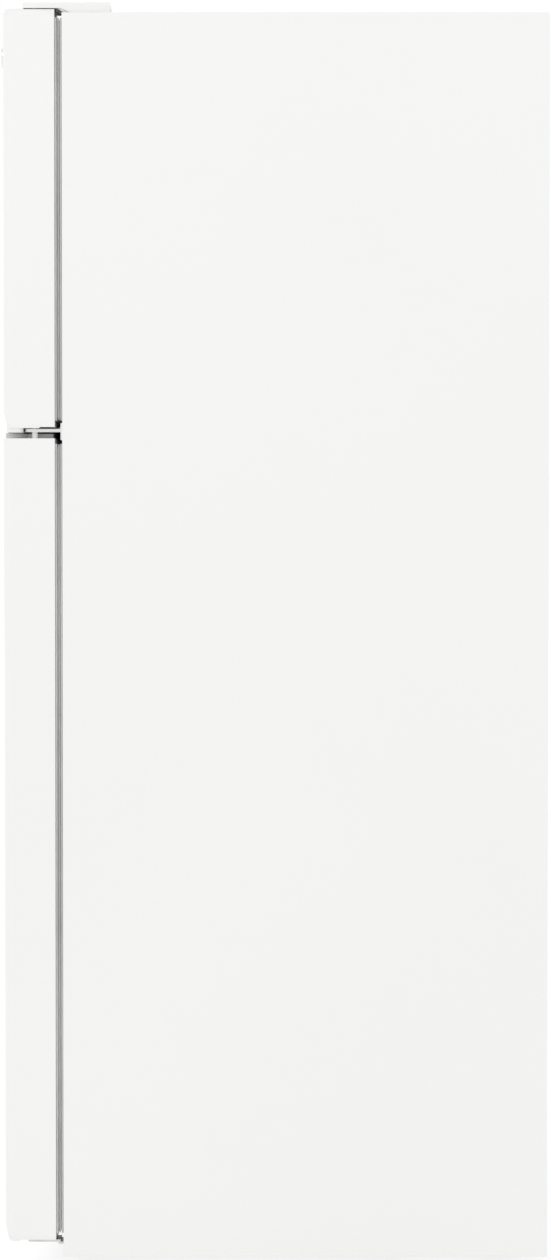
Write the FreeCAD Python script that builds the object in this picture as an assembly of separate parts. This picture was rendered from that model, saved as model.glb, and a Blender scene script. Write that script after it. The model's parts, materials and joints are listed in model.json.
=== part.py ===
import FreeCAD, Part
import math
import os

# Top freezer refrigerator, millimetres.
# Origin: middle of the footprint on the floor. +Z up, the doors face -Y, the hinges are on +X.

Vec = FreeCAD.Vector
X_AXIS, Y_AXIS, Z_AXIS = Vec(1, 0, 0), Vec(0, 1, 0), Vec(0, 0, 1)

# Cabinet
HALF_WIDTH = 355.5
TOTAL_DEPTH = 727.4
REAR_Y = TOTAL_DEPTH / 2
BADGE_PROUD = 2.6
BADGE_RADIUS = 12.7
DOOR_FRONT_Y = -TOTAL_DEPTH / 2 + BADGE_PROUD
DOOR_DEPTH = 68.0
DOOR_REAR_Y = DOOR_FRONT_Y + DOOR_DEPTH
DOOR_GAP = 10.2
CABINET_FRONT_Y = DOOR_REAR_Y + DOOR_GAP
SIDE_BOTTOM_Z = 10.0
CABINET_TOP_Z = 1667.0
SHEET = 0.8
SHELL_REAR_Y = REAR_Y - 2.4
FLANGE = 24.0
MULLION_Z = (1074.0, 1151.0)

# Compartments: inner half width, front to rear, floor and ceiling
LINER = 1.5
FRESH_HALF = 312.0
FRESH_REAR_Y = 305.0
FRESH_FLOOR_Z = 62.0
FRESH_CEILING_Z = 1073.0
STEP_Y = 136.0
STEP_Z = 262.0
FREEZER_HALF = 302.0
FREEZER_REAR_Y = 312.0
FREEZER_FLOOR_Z = 1152.0
FREEZER_CEILING_Z = 1618.0

# Machine compartment, under the rear of the fresh food compartment
DECK_Z = 30.0
MACHINE_FRONT_Y = 166.0
MACHINE_TOP_Z = 226.0
TRAY_Z = 17.0

COMPRESSOR_XY = (-190.0, 262.0)
CONDENSER_FAN_X = 20.0
FAN_Y = 262.0
FAN_Z = 120.0
INLET_X = 325.0
INLET_Z = 60.0

# Fittings inside
SHELF_Z = (560.0, 800.0)
SHELF_FRONT_Y = -150.0
SHELF_REAR_Y = 280.0
CRISPER_COVER_Z = 256.0
CRISPER_FRONT_Y = -166.0
CRISPER_REAR_Y = 128.0
CRISPER_TOP_Z = 244.0
CRISPER_HALVES = (4.0, 303.0)
CRISPER_WALL = 2.5
FREEZER_SHELF_Z = 1385.0
FREEZER_SHELF_REAR_Y = 235.0
EVAPORATOR_COVER_Y = 262.0
EVAPORATOR_FAN_Z = 1535.0
HOUSING_Y = (-85.0, 60.0)
HOUSING_HALF = 150.0
HOUSING_BOTTOM_Z = 1030.0
LAMP_HALF = 55.0
DIAL_X = 105.0
DIAL_Z = 1051.0
SWITCH_X = 262.0
SWITCH_Z = 1054.0

# Doors
DOOR_HALF = 354.5
EDGE_RADIUS = 7.0
FREEZER_DOOR_Z = (1122.0, 1663.5)
FREEZER_DOOR_TOP_Z = 1673.3
BADGE_XZ = (334.0, 1610.2)
FRIDGE_DOOR_Z = (38.0, 1102.1)
TUCK = (4.0, 18.0)
FRIDGE_DOOR_BOTTOM_Z = 30.0
CAP_CORNER_RADIUS = 8.5
LIP_BOTTOM_Z = 1111.4
LIP_DEPTH = 25.6
LIP_HALF = 352.0
LOWER_CAP_Z = 1117.4
UPPER_CAP_Z = 1103.6
UPPER_LAND_TOP_Z = 1110.8
UPPER_LAND_INSET = 12.0
HINGE_RELIEF_X = 322.0
DOOR_LINER = 1.5
DYKE_WIDTH = 20.0
DYKE_DEPTH = 46.0
BIN_REAR_Y = -184.0
BIN_WALL = 2.2
FRIDGE_DYKE_HALF = 300.0
FREEZER_DYKE_HALF = 290.0
FRIDGE_DYKE_Z = (74.0, 1064.0)
FREEZER_DYKE_Z = (1166.0, 1606.0)
FRIDGE_BIN_HALF = FRIDGE_DYKE_HALF - DYKE_WIDTH
FREEZER_BIN_HALF = FREEZER_DYKE_HALF - DYKE_WIDTH
FRIDGE_BIN_Z = ((120.0, 235.0), (430.0, 530.0), (700.0, 790.0))
FREEZER_BIN_Z = ((1200.0, 1290.0), (1420.0, 1500.0))
DAIRY_Z = (945.0, 1040.0)
DAIRY_LID_Y = BIN_REAR_Y
DAIRY_PIVOT_Z = DAIRY_Z[1] - 5.0
FREEZER_HANDLE_Z = (1150.0, 1320.0)
FRIDGE_HANDLE_Z = (890.0, 1060.0)

# Gaskets
GASKET_CLEAR = 0.8
GASKET_INSET = 10.0
GASKET_WIDTH = 15.0
FREEZER_GASKET_Z = (1127.5, 1662.5)
FRIDGE_GASKET_Z = (39.5, 1097.0)

# Hinges: both doors turn about one vertical line
PIN_X = 340.5
PIN_Y = DOOR_FRONT_Y + 40.7
PIN_RADIUS = 4.0
RUNNING_FIT = 0.06
HINGE_PLATE = 3.0
HINGE_POCKET = 2.8
COVER_TOP_Z = 1681.0
CENTRE_FLANGE_Z = (1101.5, 1124.0)
CENTRE_PLATE_Z = (1112.4, 1116.4)
SCREW_RADIUS = 2.4
SCREW_HEAD_RADIUS = 4.6

# Feet and base frame
FRAME_FRONT_Y = -270.0
FRAME_TOP_Z = DECK_Z - 0.2
ROLLER_RADIUS = 18.0
ROLLER_Y = 300.0
ROLLER_X = 300.0
FOOT_X = 290.0
FOOT_Y = -225.0


def box(x, y, z):
    """A block from three (low, high) pairs."""
    return Part.makeBox(x[1] - x[0], y[1] - y[0], z[1] - z[0], Vec(x[0], y[0], z[0]))


def rod(radius, length, start, axis):
    """A cylinder from a start point along an axis."""
    return Part.makeCylinder(radius, length, Vec(*start), axis)


def ring(radius, hole, length, start, axis):
    """A cylinder with a bore."""
    return rod(radius, length, start, axis).cut(rod(hole, length, start, axis))


def prism_x(points, x):
    """A block with the given (y, z) outline between two x planes."""
    corners = [Vec(x[0], y, z) for y, z in points]
    wire = Part.makePolygon(corners + corners[:1])
    return Part.Face(wire).extrude(Vec(x[1] - x[0], 0, 0))


def fuse(shapes):
    """One solid from several that touch."""
    shapes = list(shapes)
    whole = shapes[0].multiFuse(shapes[1:]) if len(shapes) > 1 else shapes[0]
    return whole.removeSplitter()


def cut(shape, tools):
    """The shape with each tool removed."""
    return shape.cut(list(tools)).removeSplitter()


def frame_xz(half, z, y, width):
    """An upright rectangular ring, open through Y."""
    outer = box((-half, half), y, z)
    inner = box((width - half, half - width), y, (z[0] + width, z[1] - width))
    return outer.cut(inner)


def round_edges(shape, radius, wanted):
    """Round the straight edges whose middle passes the test."""
    picked = [e for e in shape.Edges if wanted(e.CenterOfMass, e)]
    return shape.makeFillet(radius, picked)


def export(node, shape):
    """One file per node."""
    solids = shape.Solids
    assert shape.isValid() and solids, node
    if len(solids) == 1:
        shape = solids[0]
    shape.exportStep("parts/" + node + ".step")
    print(node, len(solids), round(shape.Volume / 1000.0, 1), "cm3")


# ---------------------------------------------------------------- cabinet shell

def side_panel(side):
    """Steel side with a flange turned in at the front and the rear."""
    outer = side * HALF_WIDTH
    x_sheet = sorted((outer, outer - side * SHEET))
    x_flange = sorted((outer, outer - side * FLANGE))
    z = (SIDE_BOTTOM_Z, CABINET_TOP_Z - SHEET)
    sheet = box(x_sheet, (CABINET_FRONT_Y, REAR_Y), z)
    front = box(x_flange, (CABINET_FRONT_Y, CABINET_FRONT_Y + SHEET), (DECK_Z, z[1]))
    rear = box(sorted((outer, outer - side * 14)), (SHELL_REAR_Y - SHEET, SHELL_REAR_Y), z)
    return fuse([sheet, front, rear])


def top_panel():
    """Painted steel lid with folded front flange."""
    y = (CABINET_FRONT_Y, REAR_Y)
    lip_z = (CABINET_TOP_Z - FLANGE, CABINET_TOP_Z)
    sheet = box((-HALF_WIDTH, HALF_WIDTH), y, (CABINET_TOP_Z - SHEET, CABINET_TOP_Z))
    inner = HALF_WIDTH - FLANGE
    front = box((-inner, inner), (CABINET_FRONT_Y, CABINET_FRONT_Y + SHEET), lip_z)
    return fuse([sheet, front])


def back_panel():
    """Rear sheet, with two shallow stiffening ribs pressed outwards."""
    half = HALF_WIDTH - 14.2
    y = (SHELL_REAR_Y - 2 * SHEET, SHELL_REAR_Y - SHEET)
    z = (MACHINE_TOP_Z, CABINET_TOP_Z - SHEET)
    sheet = box((-half, half), y, z)
    ribs = []
    for x in (-150, 150):
        ribs.append(box((x - 20, x + 20), (SHELL_REAR_Y - SHEET, SHELL_REAR_Y), (z[0] + 90, z[1] - 90)))
    return fuse([sheet] + ribs)


def bottom_deck():
    """Stepped steel floor that closes the foam over the machine compartment."""
    x = (-HALF_WIDTH + SHEET, HALF_WIDTH - SHEET)
    floor = box(x, (CABINET_FRONT_Y + SHEET, MACHINE_FRONT_Y), (DECK_Z, DECK_Z + SHEET))
    riser = box(x, (MACHINE_FRONT_Y - SHEET, MACHINE_FRONT_Y), (DECK_Z, MACHINE_TOP_Z))
    shelf_y = (MACHINE_FRONT_Y - SHEET, SHELL_REAR_Y - 2 * SHEET)
    shelf = box(x, shelf_y, (MACHINE_TOP_Z - SHEET, MACHINE_TOP_Z))
    half = HALF_WIDTH - FLANGE
    face_z = (DECK_Z, FRESH_FLOOR_Z - LINER - 1)
    face = box((-half, half), (CABINET_FRONT_Y + SHEET, CABINET_FRONT_Y + 2 * SHEET), face_z)
    return fuse([floor, riser, shelf, face])


def fresh_space(grow):
    """The fresh food compartment's inside, or its liner's outside when grown."""
    y0 = CABINET_FRONT_Y + SHEET
    low, high = FRESH_FLOOR_Z - grow, FRESH_CEILING_Z + grow
    points = [
        (y0, low),
        (STEP_Y + grow, low),
        (STEP_Y + grow, STEP_Z - grow),
        (FRESH_REAR_Y + grow, STEP_Z - grow),
        (FRESH_REAR_Y + grow, high),
        (y0, high),
    ]
    half = FRESH_HALF + grow
    space = prism_x(points, (-half, half))
    radius = 18.0 + grow
    return round_edges(space, radius, lambda c, e: abs(c.y - FRESH_REAR_Y - grow) < 1 and e.Length > 300)


def freezer_space(grow):
    """Inside of the freezer, grown all round."""
    y = (CABINET_FRONT_Y + SHEET, FREEZER_REAR_Y + grow)
    half = FREEZER_HALF + grow
    space = box((-half, half), y, (FREEZER_FLOOR_Z - grow, FREEZER_CEILING_Z + grow))
    radius = 18.0 + grow
    return round_edges(space, radius, lambda c, e: abs(c.y - y[1]) < 1 and e.Length > 300)


def liner(space, z):
    """One-piece plastic liner with a front rim that reaches the cabinet flange."""
    shell = space(LINER).cut(space(0))
    half = HALF_WIDTH - FLANGE - 0.5
    rim = box((-half, half), (CABINET_FRONT_Y + SHEET, CABINET_FRONT_Y + SHEET + LINER), z)
    rim = rim.cut(space(0))
    return fuse([shell, rim])


def fresh_food_liner():
    """Liner with shelf rails, light switch boss and step over the machine space."""
    body = liner(fresh_space, (FRESH_FLOOR_Z - LINER - 0.8, MULLION_Z[0] - 0.1))
    rails = []
    for side in (-1, 1):
        for z in SHELF_Z:
            x = sorted((side * (FRESH_HALF - 7), side * (FRESH_HALF + 0.5)))
            rails.append(box(x, (-150, 250), (z - 12, z - 6)))
        x = sorted((side * (FRESH_HALF - 7), side * (FRESH_HALF + 0.5)))
        rails.append(box(x, (-150, STEP_Y - 6), (CRISPER_COVER_Z - 10, CRISPER_COVER_Z - 4)))
    return fuse([body] + rails + [light_switch()])


def freezer_liner():
    """Plain formed liner with shelf ledges."""
    body = liner(freezer_space, (MULLION_Z[1] + 0.1, CABINET_TOP_Z - FLANGE - 0.2))
    rails = []
    for side in (-1, 1):
        x = sorted((side * (FREEZER_HALF - 7), side * (FREEZER_HALF + 0.5)))
        rails.append(box(x, (-150, 240), (FREEZER_SHELF_Z - 9, FREEZER_SHELF_Z - 3)))
    return fuse([body] + rails)


def mullion_trim():
    """Steel rail across the front between the two compartments."""
    half = HALF_WIDTH - FLANGE - 0.1
    y = (CABINET_FRONT_Y, CABINET_FRONT_Y + SHEET)
    face = box((-half, half), y, MULLION_Z)
    y = (CABINET_FRONT_Y + 3, CABINET_FRONT_Y + 40)
    stiffener = box((-half + 30, half - 30), y, (MULLION_Z[0] + 20, MULLION_Z[0] + 22))
    web_z = (MULLION_Z[0] + 20, MULLION_Z[0] + 22)
    web = box((-half + 30, half - 30), (CABINET_FRONT_Y + SHEET, y[0]), web_z)
    return fuse([face, stiffener, web])


def cabinet_foam():
    """Foamed in place between the steel shell and the liners."""
    x = (-HALF_WIDTH + SHEET, HALF_WIDTH - SHEET)
    y0 = CABINET_FRONT_Y + SHEET + LINER
    y1 = SHELL_REAR_Y - 2 * SHEET
    whole = box(x, (y0, y1), (DECK_Z + SHEET, CABINET_TOP_Z - SHEET))
    well = box(x, (MACHINE_FRONT_Y - SHEET, y1), (DECK_Z, MACHINE_TOP_Z))
    spaces = [well, fresh_space(LINER), freezer_space(LINER)]
    half = HALF_WIDTH - FLANGE
    strip = box((-half, half), (y0 - 1, CABINET_FRONT_Y + 41), (MULLION_Z[0] + 19, MULLION_Z[0] + 23))
    face = box((-half, half), (y0 - 1, CABINET_FRONT_Y + 2.5 * SHEET), (DECK_Z, FRESH_FLOOR_Z))
    return cut(whole, spaces + [strip, face])


# ------------------------------------------------------- fresh food fittings

def shelf_frame(z):
    """Plastic rim round one glass pane."""
    half = FRESH_HALF - 1.5
    y = (SHELF_FRONT_Y, SHELF_REAR_Y)
    outer = box((-half, half), y, (z - 6, z + 8))
    outer = round_edges(outer, 4, lambda c, e: abs(c.y - y[0]) < 0.1 and abs(c.z - z - 1) > 6)
    hole = box((20 - half, half - 20), (y[0] + 26, y[1] - 20), (z - 7, z + 9))
    seat = box((12 - half, half - 12), (y[0] + 18, y[1] - 12), (z + 3, z + 9))
    lip = box((-half + 12, half - 12), (y[1] - 10, y[1]), (z + 7, z + 14))
    return fuse([outer.cut(hole).cut(seat), lip])


def shelf_frames():
    """The two shelves' rims and the cover over the drawers."""
    return Part.makeCompound([shelf_frame(z) for z in SHELF_Z] + [crisper_cover()])


def shelf_glass():
    """Panes that lie in the shelf frames."""
    half = FRESH_HALF - 14
    y = (SHELF_FRONT_Y + 18.5, SHELF_REAR_Y - 12.5)
    panes = [box((-half, half), y, (z + 3, z + 6.8)) for z in SHELF_Z]
    cover_y = (SHELF_FRONT_Y + 18.5, STEP_Y - 14.5)
    cover_z = (CRISPER_COVER_Z + 2, CRISPER_COVER_Z + 5.8)
    panes.append(box((-half, half), cover_y, cover_z))
    return Part.makeCompound(panes)


def crisper_cover():
    """Frame over the drawers, with the runners that carry their rims."""
    half = FRESH_HALF - 1.5
    z = CRISPER_COVER_Z
    y = (SHELF_FRONT_Y, STEP_Y - 2)
    outer = box((-half, half), y, (z - 4, z + 7))
    hole = box((20 - half, half - 20), (y[0] + 26, y[1] - 20), (z - 7, z + 9))
    seat = box((12 - half, half - 12), (y[0] + 18, y[1] - 12), (z + 2, z + 9))
    web = box((-1.5, 1.5), (y[0] + 6, y[1] - 4), (z - 30, z - 3))
    ledge = box((-7.5, 7.5), (y[0] + 6, y[1] - 4), (z - 30, z - 27))
    tie = box((-10, 10), (y[0] + 10, y[1] - 10), (z - 4, z + 2))
    return fuse([outer.cut(hole).cut(seat), web, ledge, tie])


def crisper(side):
    """Open drawer hung by its rims, with a pull across the top of its front."""
    x = sorted((side * CRISPER_HALVES[0], side * CRISPER_HALVES[1]))
    y = (CRISPER_FRONT_Y, CRISPER_REAR_Y)
    z = (FRESH_FLOOR_Z + 3, CRISPER_TOP_Z)
    wall = CRISPER_WALL
    inset = 6.0
    tub_x = (x[0] + inset, x[1] - inset)
    tub = box(tub_x, (y[0] + 3, y[1]), z)
    tub = round_edges(
        tub, 10, lambda c, e: abs(c.z - z[0]) < 0.1 or (abs(c.y - y[1]) < 0.1 and e.Length < 250))
    hollow = box((tub_x[0] + wall, tub_x[1] - wall), (y[0] + 3 + wall, y[1] - wall), (z[0] + wall, z[1] + 5))
    hollow = round_edges(hollow, 8, lambda c, e: abs(c.z - z[0] - wall) < 0.1)
    hung = z[1] - 14
    rims = [
        box((x[0], tub_x[0] + 1), (y[0] + 6, y[1] - 8), (hung, hung + 3)),
        box((tub_x[1] - 1, x[1]), (y[0] + 6, y[1] - 8), (hung, hung + 3)),
    ]
    front = box((x[0] + 1.5, x[1] - 1.5), (y[0], y[0] + 3.5), (z[0] - 1, z[1] + 3))
    front = round_edges(front, 1.5, lambda c, e: abs(c.y - y[0]) < 0.1)
    pull = box((x[0] + 60, x[1] - 60), (y[0] - 14, y[0] + 1), (z[1] - 22, z[1] - 18))
    turn = box((x[0] + 60, x[1] - 60), (y[0] - 14, y[0] - 11), (z[1] - 34, z[1] - 18))
    return fuse([tub.cut(hollow)] + rims + [front, pull, turn])


def control_housing():
    """Moulded box under the ceiling that holds the thermostat, dial and lamp."""
    y0, y1 = HOUSING_Y
    z0, z1 = HOUSING_BOTTOM_Z, FRESH_CEILING_Z - 0.1
    half = HOUSING_HALF
    profile = [(y0, z0 + 6), (y0 + 8, z0), (y1, z0 + 12), (y1, z1), (y0, z1)]
    body = prism_x(profile, (-half, half))
    inner = [(y0 + 3, z0 + 8), (y0 + 10, z0 + 3), (y1 - 3, z0 + 15), (y1 - 3, z1 + 1), (y0 + 3, z1 + 1)]
    body = body.cut(prism_x(inner, (-half + 3, half - 3)))
    shaft_hole = rod(3.06, 8, (DIAL_X, y0 - 1, DIAL_Z), Y_AXIS)
    window = box((-LAMP_HALF - 0.3, LAMP_HALF + 0.3), (y0 + 22, y1 - 22), (z0 - 2, z0 + 16))
    bearing = ring(6, 3.06, 10, (DIAL_X, y0 + 2, DIAL_Z), Y_AXIS)
    return fuse([body.cut(shaft_hole).cut(window), bearing])


def lamp():
    """Clear lens with the light strip moulded into it."""
    y0, y1 = HOUSING_Y
    z = HOUSING_BOTTOM_Z
    profile = [(y0 + 22.3, z + 0.5), (y1 - 22.3, z + 8.0), (y1 - 22.3, z + 15), (y0 + 22.3, z + 15)]
    return prism_x(profile, (-LAMP_HALF, LAMP_HALF))


def fridge_dial():
    """Temperature dial with a finger bar, on a shaft through the housing."""
    y0 = HOUSING_Y[0]
    disc = rod(19, 6, (DIAL_X, y0 - 8, DIAL_Z), Y_AXIS)
    disc = disc.makeFillet(1.5, [e for e in disc.Edges if abs(e.CenterOfMass.y - y0 + 8) < 0.1])
    bar = box((DIAL_X - 4, DIAL_X + 4), (y0 - 18, y0 - 7), (DIAL_Z - 17, DIAL_Z + 17))
    bar = round_edges(bar, 2, lambda c, e: abs(c.y - y0 + 18) < 0.1)
    shaft = rod(3.0, 18, (DIAL_X, y0 - 3, DIAL_Z), Y_AXIS)
    return fuse([disc, bar, shaft])


def light_switch():
    """Switch boss moulded under the liner's ceiling, with a bore for the plunger."""
    y = (CABINET_FRONT_Y + 50, CABINET_FRONT_Y + 92)
    z = (SWITCH_Z - 13, FRESH_CEILING_Z + 0.5)
    body = box((SWITCH_X - 15, SWITCH_X + 15), y, z)
    body = round_edges(body, 3, lambda c, e: abs(c.z - z[0]) < 0.1)
    return body.cut(rod(5.06, 38, (SWITCH_X, y[0] - 1, SWITCH_Z), Y_AXIS))


def light_switch_plunger():
    """Rod pressed by the shut door; it follows the door out by 8 mm."""
    y0 = DOOR_REAR_Y + DYKE_DEPTH + 0.4
    stem = rod(5.0, 34, (SWITCH_X, y0, SWITCH_Z), Y_AXIS)
    return stem.makeFillet(2, [e for e in stem.Edges if abs(e.CenterOfMass.y - y0) < 0.1])


# ------------------------------------------------------------ freezer fittings

def freezer_shelf():
    """Welded wire shelf."""
    half = FREEZER_HALF - 3
    y = (SHELF_FRONT_Y, FREEZER_SHELF_REAR_Y)
    z = FREEZER_SHELF_Z
    bars = []
    for line_y in (y[0], (y[0] + y[1]) / 2, y[1]):
        bars.append(rod(3, 2 * half, (-half, line_y, z), X_AXIS))
    wires = 21
    for i in range(wires):
        x = -half + 6 + i * (2 * half - 12) / (wires - 1)
        bars.append(rod(1.8, y[1] - y[0] + 6, (x, y[0] - 3, z + 3.2), Y_AXIS))
    return fuse(bars)


def evaporator_cover():
    """Rear wall of the freezer: fan grille above, return slots below."""
    y = (EVAPORATOR_COVER_Y, EVAPORATOR_COVER_Y + 2)
    half = FREEZER_HALF - 1
    z = (FREEZER_FLOOR_Z + 1, FREEZER_CEILING_Z - 1)
    sheet = box((-half, half), y, z)
    openings = []
    for i in range(9):
        x = -240 + i * 60
        openings.append(box((x - 20, x + 20), (y[0] - 1, y[1] + 1), (z[0] + 14, z[0] + 34)))
    hub, rim = 12, 55
    openings.append(ring(rim, hub, 4, (0, y[0] - 1, EVAPORATOR_FAN_Z), Y_AXIS))
    sheet = sheet.cut(openings)
    guards = [box((-rim - 2, rim + 2), y, (EVAPORATOR_FAN_Z - 1.5, EVAPORATOR_FAN_Z + 1.5))]
    guards.append(box((-1.5, 1.5), y, (EVAPORATOR_FAN_Z - rim - 2, EVAPORATOR_FAN_Z + rim + 2)))
    for radius in (24, 36, 47):
        guards.append(ring(radius + 1, radius - 1, 2, (0, y[0], EVAPORATOR_FAN_Z), Y_AXIS))
    return fuse([sheet] + guards)


def evaporator_coil():
    """Finned coil that stands behind the cover."""
    y = (EVAPORATOR_COVER_Y + 8, FREEZER_REAR_Y - 3)
    tubes = []
    rows = 5
    for i in range(rows):
        z = FREEZER_FLOOR_Z + 60 + i * 40
        tubes.append(rod(4, 520, (-260, (y[0] + y[1]) / 2, z), X_AXIS))
    fins = []
    for i in range(27):
        x = -234 + i * 18
        fins.append(box((x - 0.4, x + 0.4), y, (FREEZER_FLOOR_Z + 40, FREEZER_FLOOR_Z + 240)))
    plate_z = (FREEZER_FLOOR_Z + 21, FREEZER_FLOOR_Z + 250)
    plates = [box((s * 250 - 1, s * 250 + 1), y, plate_z) for s in (-1, 1)]
    return fuse(tubes + fins + plates)


def fan_blades(radius, hub, start, axis, width):
    """Hub with five flat pitched blades; the turning line is the given axis through start."""
    body = rod(hub, width, start, axis)
    blades = []
    for i in range(5):
        blade = Part.makeBox(radius - hub + 2, 2, width * 1.1, Vec(hub - 2, -1, 0))
        blade.rotate(Vec(0, 0, width / 2), X_AXIS, 28)
        blade.rotate(Vec(0, 0, 0), Z_AXIS, i * 72)
        place = FreeCAD.Placement(Vec(*start), FreeCAD.Rotation(Z_AXIS, axis))
        blade.Placement = place.multiply(blade.Placement)
        blades.append(blade)
    return fuse([body] + blades)


def evaporator_fan():
    """Small fan on the motor's shaft."""
    return fan_blades(44, 13, (0, EVAPORATOR_COVER_Y + 6, EVAPORATOR_FAN_Z), Y_AXIS, 14).cut(
        rod(2.56, 12, (0, EVAPORATOR_COVER_Y + 10, EVAPORATOR_FAN_Z), Y_AXIS)
    )


def evaporator_fan_motor():
    """Motor can on a cross bar between two ears, with the shaft that carries the fan."""
    y = EVAPORATOR_COVER_Y + 24
    z = EVAPORATOR_FAN_Z
    can = rod(20, 20, (0, y, z), Y_AXIS)
    shaft = rod(2.5, 16, (0, y - 13, z), Y_AXIS)
    bar = box((-70, 70), (y + 14, y + 17), (z - 8, z + 8))
    ear_y = (EVAPORATOR_COVER_Y + 2.2, y + 17)
    ears = [box((s * 70 - 2, s * 70 + 2), ear_y, (z - 8, z + 8)) for s in (-1, 1)]
    return fuse([can, shaft, bar] + ears)


# ----------------------------------------------------------------------- doors

def door_block(half, y, z):
    """A door-shaped block with rounded upright front edges."""
    block = box((-half, half), y, z)
    radius = EDGE_RADIUS - (DOOR_HALF - half)
    upright = z[1] - z[0]
    return round_edges(block, radius, lambda c, e: abs(c.y - y[0]) < 0.1 and abs(e.Length - upright) < 0.01)


def tucked(block, z):
    """Slope the front back towards its lower edge."""
    deep, tall = TUCK
    front = block.BoundBox.YMin
    wedge = [(front - 1, z[0] - 1), (front + deep, z[0] - 1), (front + deep, z[0]), (front, z[0] + tall),
             (front - 1, z[0] + tall)]
    return block.cut(prism_x(wedge, (-DOOR_HALF - 1, DOOR_HALF + 1)))


def handle_block(z, wall):
    """The pocket in the free edge of a door, or its liner's outside when grown by the wall."""
    x = (-DOOR_HALF - (1 if wall == 0 else 0), -DOOR_HALF + 22 + wall)
    y = (DOOR_FRONT_Y + 14 - wall, DOOR_FRONT_Y + 50 + wall)
    block = box(x, y, (z[0] - wall, z[1] + wall))
    return round_edges(block, 6 + wall, lambda c, e: abs(c.x - x[1]) < 0.1)


def door_skin(z, handle_z):
    """Steel front folded back along both sides."""
    outer = door_block(DOOR_HALF, (DOOR_FRONT_Y, DOOR_REAR_Y), z)
    inner = door_block(DOOR_HALF - SHEET, (DOOR_FRONT_Y + SHEET, DOOR_REAR_Y + 1), z)
    outer, inner = tucked(outer, z), tucked(inner, z)
    return outer.cut(inner).cut(handle_block(handle_z, 2))


def door_handle(z):
    """Moulded finger pocket let into the free edge."""
    return handle_block(z, 2).cut(handle_block(z, 0))


def dyke(half, z, inset):
    """Raised border of the inner panel that stands inside the gasket."""
    y = (DOOR_REAR_Y - 1, DOOR_REAR_Y + DYKE_DEPTH - inset)
    outer = box((inset - half, half - inset), y, (z[0] + inset, z[1] - inset))
    outer = round_edges(outer, 6 - inset, lambda c, e: abs(c.y - y[1]) < 0.1)
    reach = half - DYKE_WIDTH + inset
    inner = box((-reach, reach), (y[0] - 1, y[1] + 1), (z[0] + DYKE_WIDTH - inset, z[1] - DYKE_WIDTH + inset))
    return outer.cut(inner)


def door_inner_panel(z, half, dyke_z):
    """Thin formed sheet: flat field with a hollow dyke."""
    y = (DOOR_REAR_Y - DOOR_LINER, DOOR_REAR_Y)
    wide = DOOR_HALF - SHEET
    field = box((-wide, wide), y, z)
    solid = fuse([field, dyke(half, dyke_z, 0)])
    core = dyke(half, dyke_z, DOOR_LINER)
    core = core.fuse(core.translated(Vec(0, -2, 0)))
    return solid.cut(core)


def door_foam(z, half, dyke_z, handle_z, bearings):
    """Insulation that fills the door and its dyke."""
    wide = DOOR_HALF - SHEET
    body = tucked(door_block(wide, (DOOR_FRONT_Y + SHEET, DOOR_REAR_Y - DOOR_LINER), z), z)
    core = dyke(half, dyke_z, DOOR_LINER)
    core = core.fuse(core.translated(Vec(0, -2, 0)))
    core = core.cut(box((-wide, wide), (DOOR_REAR_Y - 9, DOOR_REAR_Y - DOOR_LINER), z))
    return fuse([body, core]).cut(handle_block(handle_z, 2)).cut(bearings)


def bearing_block(z):
    """Part of an end cap that reaches into the door round the hinge pin."""
    return box((PIN_X - 11, PIN_X + 11), (PIN_Y - 11, PIN_Y + 11), z)


def pin_hole(z):
    """Bore for a hinge pin."""
    return rod(PIN_RADIUS + RUNNING_FIT, z[1] - z[0], (PIN_X, PIN_Y, z[0]), Z_AXIS)


def top_end_cap():
    """Closes the freezer door above; its front edge is rounded over."""
    z = (FREEZER_DOOR_Z[1], FREEZER_DOOR_TOP_Z)
    cap = door_block(DOOR_HALF, (DOOR_FRONT_Y, DOOR_REAR_Y), z)
    cap = round_edges(cap, CAP_CORNER_RADIUS, lambda c, e: c.y < DOOR_FRONT_Y + 0.1 and abs(c.z - z[1]) < 0.1)
    cap = fuse([cap, bearing_block((z[0] - 14, z[0] + 1))])
    return cap.cut(pin_hole((z[0] - 10, z[1] + 1)))


def lower_end_cap():
    """Closes the freezer door below, with a front lip that hides the hinge plate."""
    z = (LOWER_CAP_Z, FREEZER_DOOR_Z[0])
    cap = door_block(DOOR_HALF, (DOOR_FRONT_Y + TUCK[0], DOOR_REAR_Y), z)
    front = DOOR_FRONT_Y + 3.6
    lip = box((-LIP_HALF, LIP_HALF), (front, DOOR_FRONT_Y + LIP_DEPTH), (LIP_BOTTOM_Z, z[0] + 1))
    tall = z[0] + 1 - LIP_BOTTOM_Z
    lip = round_edges(lip, 6, lambda c, e: abs(c.x) > LIP_HALF - 1 and abs(e.Length - tall) < 0.01)
    lip = round_edges(lip, 2, lambda c, e: c.y < front + 0.1 and abs(c.z - LIP_BOTTOM_Z) < 0.1)
    relief = box((300, DOOR_HALF + 1), (PIN_Y + 7, DOOR_REAR_Y + 1), (z[0] - 1, z[0] + 1.4))
    cap = fuse([cap.cut(relief), lip, bearing_block((z[1] - 1, z[1] + 14))])
    return cap.cut(pin_hole((z[0] - 1, z[1] + 10)))


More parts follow.
